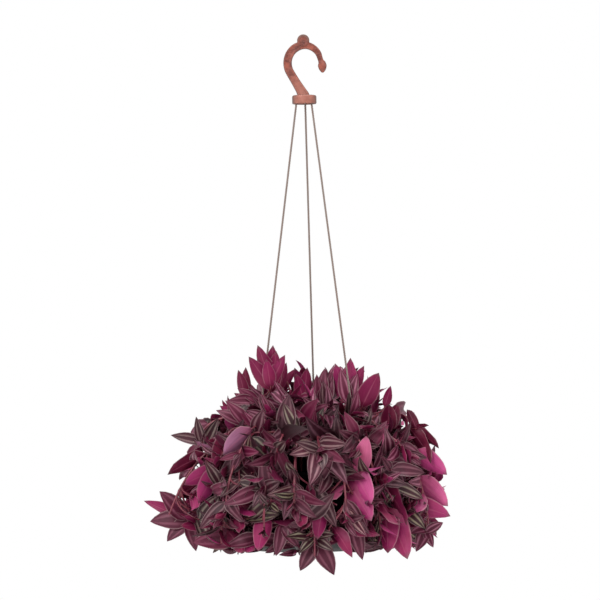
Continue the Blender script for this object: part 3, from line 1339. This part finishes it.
STAR_TOP = 0.002  # from the tip to the first leaf, and STAR_STEP more for each that follows
STAR_STEP = 0.0040
STAR_STRAY = 0.35  # how far a star's aim may stray each way
STAR_SPREAD = 20  # degrees, of the first leaf, and STAR_OPENING more for each that follows
STAR_OPENING = 8.5
STAR_CREEP = 9  # degrees round the stem from one leaf to the next, past half a turn
STAR_TURN_SCATTER = 24  # degrees
STAR_TILT_SCATTER = 7
STEM_SORTS = (2, 3, 4, 5, 6, 7, 10)
STEM_LENGTHS = (0.050, 0.070)
STEM_TILTS = (50, 80)  # degrees
STEM_TURN_SCATTER = 40
STEM_TOP = 0.028  # from the tip to the first leaf below the star
LEAF_SPACING = 0.014
LEAF_SEED = 1000
LEAF_TRIES = 12
TRY_LOSS = 0.025  # share of its length that a leaf loses at each try
LENGTH_SCATTER = (0.90, 1.10)
LEAF_ROOT = 0.5  # share of the stem's radius at which a leaf's root lies
DODGE = 0.35  # radians round the stem that a leaf may move for each try so far, to find room
OPENING_DODGE = 0.3  # share of that by which it also opens
LEAF_SAG = 0.30  # of a stem leaf, unless it already points down more steeply than SAG_LIMIT
SAG_LIMIT = -0.5
LIGHT_OUT = 0.6  # the light that stem leaves turn to comes from outside and above
LIGHT_UP = 0.7
FACE_TURN = 1.2  # how strongly a stem leaf turns its face to the light, and its back if it is flipped
BACK_TURN = -0.5
FLIP_LUCK = 0.45  # luck above which a stem leaf shows its underside
TONE_SCATTER = 0.30
FRESH_LEVEL = -0.56  # above it leaves are pinker, and below it less so
FRESH_RISE = 2.8
LUCK_LEVEL = -0.60  # above it leaves are redder, and below it more silvery and olive
LUCK_RISE = 2.0
SHADE_TOP = -0.545  # below it stem leaves darken from SHADE_RADIUS inwards, over SHADE_DEPTH
SHADE_RADIUS = 0.150
SHADE_DEPTH = 0.060
STAR_AGES = (-0.85, 0.50)  # those below 0 count as 0


def within_unit(value):
    return min(1.0, max(0.0, value))


def inside_outline(points, slack):
    """Whether all the points are inside the turned outline, let out by slack."""
    for point in points:
        if not OUTLINE[0][0] <= point.z <= OUTLINE[-1][0] + slack:
            return False
        for (low, near), (high, far) in zip(OUTLINE, OUTLINE[1:]):
            if low <= point.z <= high:
                limit = near + (far - near) * (point.z - low) / (high - low) + slack
                if math.hypot(point.x, point.y) > limit:
                    return False
    return True


def curve_length(curve):
    places = [on_stem(curve, i / CURVE_STEPS)[0] for i in range(CURVE_STEPS + 1)]
    return sum((b - a).length for a, b in zip(places, places[1:]))


def leaf_ideas(curve, aim, tone, bare, seed):
    """The leaves wanted on a stem: a heart and a star at its tip, and others down to its bare share."""
    length = curve_length(curve)
    chance = random.Random(seed)
    first = chance.uniform(0, 2 * math.pi)
    vigour = chance.uniform(*VIGOUR)
    aim = (aim + Vector([chance.uniform(-STAR_STRAY, STAR_STRAY) for _ in range(3)])).normalized()
    ideas = []
    for i, sort in enumerate(HEART_SORTS):
        size = (HEART_LENGTH + HEART_GROWTH * i) * vigour
        tilt = HEART_SPREAD + HEART_OPENING * i
        ideas.append(("star", 1.0 - HEART_STEP * i, first + math.pi * (i + 1), tilt, size, sort))
    for i in range(STAR_LEAVES):
        share = 1.0 - (STAR_TOP + STAR_STEP * i) / length
        stray = chance.uniform(-STAR_TURN_SCATTER, STAR_TURN_SCATTER)
        turn = first + math.pi * i + math.radians(STAR_CREEP * i + stray)
        tilt = STAR_SPREAD + STAR_OPENING * i + chance.uniform(-STAR_TILT_SCATTER, STAR_TILT_SCATTER)
        size = (STAR_LENGTH + STAR_GROWTH * i) * vigour
        ideas.append(("star", share, turn, tilt, size, chance.choice(STAR_SORTS)))
    down = STEM_TOP
    while down < length * (1.0 - bare):
        stray = chance.uniform(-STEM_TURN_SCATTER, STEM_TURN_SCATTER)
        turn = first + math.radians(90 + 180 * len(ideas) + stray)
        size = chance.uniform(*STEM_LENGTHS)
        sort = chance.choice(STEM_SORTS)
        ideas.append(("stem", 1.0 - down / length, turn, chance.uniform(*STEM_TILTS), size, sort))
        down += LEAF_SPACING
    made = []
    for kind, share, turn, tilt, size, sort in ideas:
        place, way = on_stem(curve, share)
        if kind == "star":
            way = way.lerp(aim, STAR_TURN).normalized()
        made.append((kind, place, way, turn, math.radians(tilt), size, sort, tone))
    return made


def leaf_colours(kind, place, tone, luck, chance):
    """Tone, luck and age of an ordinary leaf, each from 0 to 1."""
    fresh = FRESH_RISE * (place.z - FRESH_LEVEL)
    tone = within_unit(tone + fresh + chance.uniform(-TONE_SCATTER, TONE_SCATTER))
    if kind == "star":
        age = chance.uniform(*STAR_AGES)
    elif place.z < SHADE_TOP:
        age = (SHADE_RADIUS - math.hypot(place.x, place.y)) / SHADE_DEPTH
    else:
        age = 0.0
    return {"tone": tone, "luck": luck, "age": within_unit(age)}


def place_leaf(idea, crowd, luck, sheets, chance):
    """Turns a leaf about its stem until it has room, and returns what its point has to hold."""
    kind, place, way, turn, tilt, size, sort, tone = idea
    flipped = kind == "stem" and luck > FLIP_LUCK
    slack = chance.uniform(-OUTLINE_SLACK, OUTLINE_SLACK)
    for attempt in range(LEAF_TRIES):
        shift = attempt * chance.uniform(-DODGE, DODGE)
        side = around(way, UP, turn + shift)
        opening = tilt + OPENING_DODGE * shift
        along = (way * math.cos(opening) + side * math.sin(opening)).normalized()
        upper = (way * math.sin(opening) - side * math.cos(opening)).normalized()
        if kind == "stem":
            sag = LEAF_SAG if along.z > SAG_LIMIT else 0.0
            along = (along - UP * sag).normalized()
            lit = Vector((place.x, place.y, 0.0)).normalized() * LIGHT_OUT + UP * LIGHT_UP
            upper = square_to(along, upper + lit * (BACK_TURN if flipped else FACE_TURN))
        root = place + side * STEM_RADIUS * LEAF_ROOT
        length = size * chance.uniform(*LENGTH_SCATTER) * (1.0 - TRY_LOSS * attempt)
        laid, faces = laid_sheet(sheets[sort], root, along, upper, length)
        if crowd.blocks(laid, faces) or not inside_outline(laid, slack):
            continue
        crowd.add(laid, faces)
        return {
            "place": root - along * ROOT_SINK, "along": along, "upper": upper, "length": length,
            "sort": sort, **leaf_colours(kind, place, tone, luck, chance),
        }
    return None


def add_field(mesh, name, kind, values):
    field = mesh.attributes.new(name, kind, "POINT")
    key = "vector" if kind == "FLOAT_VECTOR" else "value"
    flat = [x for value in values for x in value] if key == "vector" else values
    field.data.foreach_set(key, flat)


def shoot_mesh(name, curves, leaves):
    """The stems' lines, and a loose point for each leaf with all that the tree needs to grow it."""
    places = []
    edges = []
    girths = []
    for number, curve in enumerate(curves):
        thick = STEM_RADIUS if number == 0 else STEM_RADIUS * BRANCH_GIRTH
        for i in range(STEM_STEPS + 1):
            place = on_stem(curve, i / STEM_STEPS)[0]
            near = min(((leaf["place"] - place).length for leaf in leaves), default=1.0)
            swell = SHEATH_SWELL * max(0.0, 1.0 - near / SHEATH_LENGTH)
            girths.append(thick * (1.0 - STEM_TAPER * i / STEM_STEPS) * (1.0 + swell))
            if i:
                edges.append((len(places) - 1, len(places)))
            places.append(tuple(place))
    bare = len(places)
    places += [tuple(leaf["place"]) for leaf in leaves]
    mesh = bpy.data.meshes.new(name)
    mesh.from_pydata(places, edges, [])
    add_field(mesh, "leaf", "BOOLEAN", [False] * bare + [True] * len(leaves))
    add_field(mesh, "girth", "FLOAT", girths + [0.0] * len(leaves))
    for field, kind in (
        ("along", "FLOAT_VECTOR"), ("upper", "FLOAT_VECTOR"), ("length", "FLOAT"), ("sort", "INT"),
        ("tone", "FLOAT"), ("luck", "FLOAT"), ("age", "FLOAT"),
    ):
        blank = (0.0, 0.0, 1.0) if kind == "FLOAT_VECTOR" else 0
        add_field(mesh, field, kind, [blank] * bare + [leaf[field] for leaf in leaves])
    return mesh


def host_of(shoots, tip):
    """The shoot and the share of its stem from which a branch to tip would be about the right length."""
    best = (None, 0.0, 1.0)
    for shoot in shoots:
        for step in HOST_STEPS:
            place, way = on_stem(shoot["curves"][0], step / CURVE_STEPS)
            gap = tip - place
            miss = abs(gap.length - BRANCH_LENGTH) + (BACKWARDS if gap.dot(way) < 0 else 0.0)
            if miss < best[2]:
                best = (shoot, step / CURVE_STEPS, miss)
    return best


def add_branch(host, share, tip, aim):
    """Gives a shoot one more stem, which starts on its own stem and ends at tip, along aim."""
    start, way = on_stem(host["curves"][0], share)
    span = (tip - start).length
    curve = (start, start + way * span * BRANCH_ROOT_PULL, tip - aim * span * BRANCH_TIP_PULL, tip)
    host["curves"].append(curve)
    return curve


def near_show(place):
    """Whether a place is near a node that has leaves set by hand."""
    return any((place - Vector(node) / 1000).length < SHOW_ROOM for node, *_ in SHOW_LEAVES)


def sight_lines(points, depth):
    """Slivers that run forwards from the points, which keep leaves from growing in front of them."""
    corners = []
    for point in points:
        far = point - Vector((0.0, depth, 0.0))
        corners += [point, far, far + UP * SLIVER]
    return corners, [(i, i + 1, i + 2) for i in range(0, len(corners), 3)]


def keep_gaps(crowd):
    """Keeps the ordinary leaves out of the dark gaps."""
    for middle, (wide, high) in DARK_GAPS:
        steps = [
            Vector((x, 0, z))
            for x in range(-wide, wide + 1, GAP_STEP) for z in range(-high, high + 1, GAP_STEP)
        ]
        crowd.add(*sight_lines([(Vector(middle) + step) / 1000 for step in steps], GAP_DEPTH))


def place_show_leaves(shoots, crowd, sheets):
    """Sets the leaves chosen by hand, each on a branch of the shoot that it fits best."""
    chance = random.Random(SHOW_SEED)
    for centre, face, sort, tone, luck, tips in SHOW_LEAVES:
        node = Vector(centre) / 1000
        ends = [Vector(tip) / 1000 for tip in tips]
        host, share, _ = host_of(shoots, node)
        aim = sum(((end - node).normalized() for end in ends), SHOW_AIM).normalized()
        add_branch(host, share, node, aim)
        for number, end in enumerate(ends):
            root = node - aim * SHOW_STEP * number
            along = (end - root).normalized()
            facing = Vector((chance.uniform(-SHOW_TILT, SHOW_TILT), -face, SHOW_LIFT))
            upper = square_to(along, facing)
            bend = BLADES[sort][0]
            length = (end - root).length / (1.0 - BEND_LOSS * bend / BEND_UNIT)
            laid, faces = laid_sheet(sheets[sort], root, along, upper, length)
            crowd.add(laid, faces)
            crowd.add(*sight_lines(laid, SIGHT_DEPTH))
            own_luck = within_unit(luck + chance.uniform(-SHOW_SCATTER, SHOW_SCATTER))
            host["leaves"].append({
                "place": root - along * SHOW_ROOT_SINK, "along": along, "upper": upper,
                "length": length, "sort": sort, "tone": tone, "luck": own_luck, "age": 0.0,
            })


def plan_shoots():
    """Every shoot with its stems: first its own, then the branches that start on it."""
    shoots = []
    families = {
        "crown": CROWN_SHOOTS, "shoulder": SHOULDER_SHOOTS,
        "middle": MIDDLE_SHOOTS, "skirt": SKIRT_SHOOTS,
    }
    for family, rows in families.items():
        for number, shoot in enumerate(rows, start=1):
            azimuth, _, _, _, lean, tone = shoot
            curve = stem_curve(shoot, family, len(shoots))
            ideas = leaf_ideas(curve, outwards(azimuth, lean), tone, SHOOT_BARE, len(shoots))
            name = f"{family}_{number:02d}"
            shoots.append({"name": name, "tone": tone, "curves": [curve], "ideas": ideas, "leaves": []})
    chance = random.Random(BRANCH_SEED)
    mains = [shoot["curves"][0] for shoot in shoots]
    for height, reach, lean, count in BRANCH_ROWS:
        start = (height * 1000 % 7) / 7
        for i in range(count):
            azimuth = (i + start + chance.uniform(-BRANCH_TURN, BRANCH_TURN)) * 360 / count
            out = outwards(azimuth) * (reach + chance.uniform(*BRANCH_REACH))
            tip = out + UP * (height + chance.uniform(*BRANCH_RISE))
            if min((tip - curve[3]).length for curve in mains) < BRANCH_APART:
                continue
            host, share, _ = host_of(shoots, tip)
            aim = outwards(azimuth, lean)
            curve = add_branch(host, share, tip, aim)
            tone = within_unit(host["tone"] + chance.uniform(-BRANCH_TONE, BRANCH_TONE))
            host["ideas"] += leaf_ideas(curve, aim, tone, BRANCH_BARE, chance.randrange(10**6))
    return shoots


def make_blades():
    """One leaf of each sort, in a collection that the shoots' tree takes them from."""
    blades = bpy.data.collections.new("blades")
    bpy.context.scene.collection.children.link(blades)
    for sort in range(len(BLADES)):
        blade = make_blade(sort)
        bpy.context.scene.collection.objects.unlink(blade)
        blades.objects.link(blade)
    return blades


def hard_pieces():
    """A crowd that holds the pieces that the ordinary leaves may not go through."""
    crowd = Crowd()
    for node in ("pot", "saucer", "cord_left", "cord_right", "cord_back"):
        mesh = frame["nodes"][node].data
        points = [vert.co.copy() for vert in mesh.vertices]
        crowd.add(points, [tuple(poly.vertices) for poly in mesh.polygons])
    return crowd


def place_leaves(shoots, crowd, sheets):
    """Sets the ordinary leaves wherever they have room: all the stars first, then the stem leaves."""
    for kind in ("star", "stem"):
        for seed, shoot in enumerate(shoots):
            chance = random.Random(LEAF_SEED + seed)
            for idea in shoot["ideas"]:
                luck = within_unit(chance.random() + LUCK_RISE * (LUCK_LEVEL - idea[1].z))
                if idea[0] == kind and not (kind == "star" and near_show(idea[1])):
                    leaf = place_leaf(idea, crowd, luck, sheets, chance)
                    if leaf:
                        shoot["leaves"].append(leaf)


def make_shoots():
    blades = make_blades()
    sheets = [blade_sheet(sort) for sort in range(len(BLADES))]
    tree = shoot_tree()
    finishes = {
        "Stem skin": stem_finish(), "Leaf face": leaf_face_finish(), "Leaf back": leaf_back_finish(),
    }
    crowd = hard_pieces()
    shoots = plan_shoots()
    keep_gaps(crowd)
    place_show_leaves(shoots, crowd, sheets)
    place_leaves(shoots, crowd, sheets)
    for shoot in shoots:
        name = shoot["name"]
        lines = shoot_mesh(name, shoot["curves"], shoot["leaves"])
        piece = bpy.data.objects.new("leaves_" + name, lines)
        bpy.context.scene.collection.objects.link(piece)
        grown(piece, tree, {"Blades": blades, "Stem sides": STEM_SIDES, **finishes})
        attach(piece, "root")
        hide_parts("shoot_" + name)
    for blade in list(blades.objects):
        bpy.data.objects.remove(blade)
    bpy.data.collections.remove(blades)


make_shoots()


# ----------------------------------------------------------------- studio
# A wide white floor, well below the pot, under an even white sky, with three large soft lamps: one
# from the upper left, a weaker one from the right and one overhead.

FLOOR_Z = -1.45
FLOOR_RADIUS = 6.0
LAMP_TARGET = Vector((0.0, 0.0, -0.45))
LAMPS = (  # name, place, width in metres and power in watts
    ("key", (-1.5, -2.8, 1.3), 1.2, 74.0),
    ("fill", (2.4, -2.2, 0.2), 1.8, 12.0),
    ("top", (0.2, 0.1, 2.2), 1.6, 66.0),
)
CAMERA_PLACE = (-0.0102, -4.0, -0.352)
CAMERA_ROLL = 0.85  # degrees
CAMERA_LENS = 171.0  # millimetres
CAMERA_SENSOR = 36.0


def make_floor():
    bm = bmesh.new()
    bmesh.ops.create_circle(bm, cap_ends=True, segments=96, radius=FLOOR_RADIUS)
    bmesh.ops.translate(bm, verts=bm.verts, vec=(0.0, 0.0, FLOOR_Z))
    floor = new_piece("floor", bm)
    made, tree, shader = new_finish("white_paper", 0.9, Specular_IOR_Level=0.2)
    tint = stops(tree, grain(tree, 3.0, 2.0), (0.3, (0.92, 0.92, 0.92)), (0.7, (0.94, 0.94, 0.94)))
    tree.links.new(tint, shader.inputs["Base Color"])
    floor.data.materials.append(made)


def add_lamp(name, place, size, power):
    light = bpy.data.lights.new(name, "AREA")
    light.energy = power
    light.size = size
    lamp = bpy.data.objects.new(name, light)
    lamp.location = place
    lamp.rotation_euler = (LAMP_TARGET - Vector(place)).to_track_quat("-Z", "Y").to_euler()
    bpy.context.scene.collection.objects.link(lamp)


def make_camera():
    camera = bpy.data.cameras.new("camera")
    camera.lens = CAMERA_LENS
    camera.sensor_width = CAMERA_SENSOR
    camera.clip_end = 50.0
    eye = bpy.data.objects.new("camera", camera)
    eye.location = CAMERA_PLACE
    eye.rotation_euler = (math.radians(90), math.radians(CAMERA_ROLL), 0.0)
    bpy.context.scene.collection.objects.link(eye)
    bpy.context.scene.camera = eye


def make_sky():
    sky = bpy.data.worlds.new("sky")
    sky.use_nodes = True
    background = sky.node_tree.nodes["Background"]
    background.inputs["Color"].default_value = (1.0, 1.0, 1.0, 1.0)
    background.inputs["Strength"].default_value = 1.0
    bpy.context.scene.world = sky


make_floor()
for lamp in LAMPS:
    add_lamp(*lamp)
make_sky()
bpy.context.scene.view_settings.view_transform = "Standard"
make_camera()
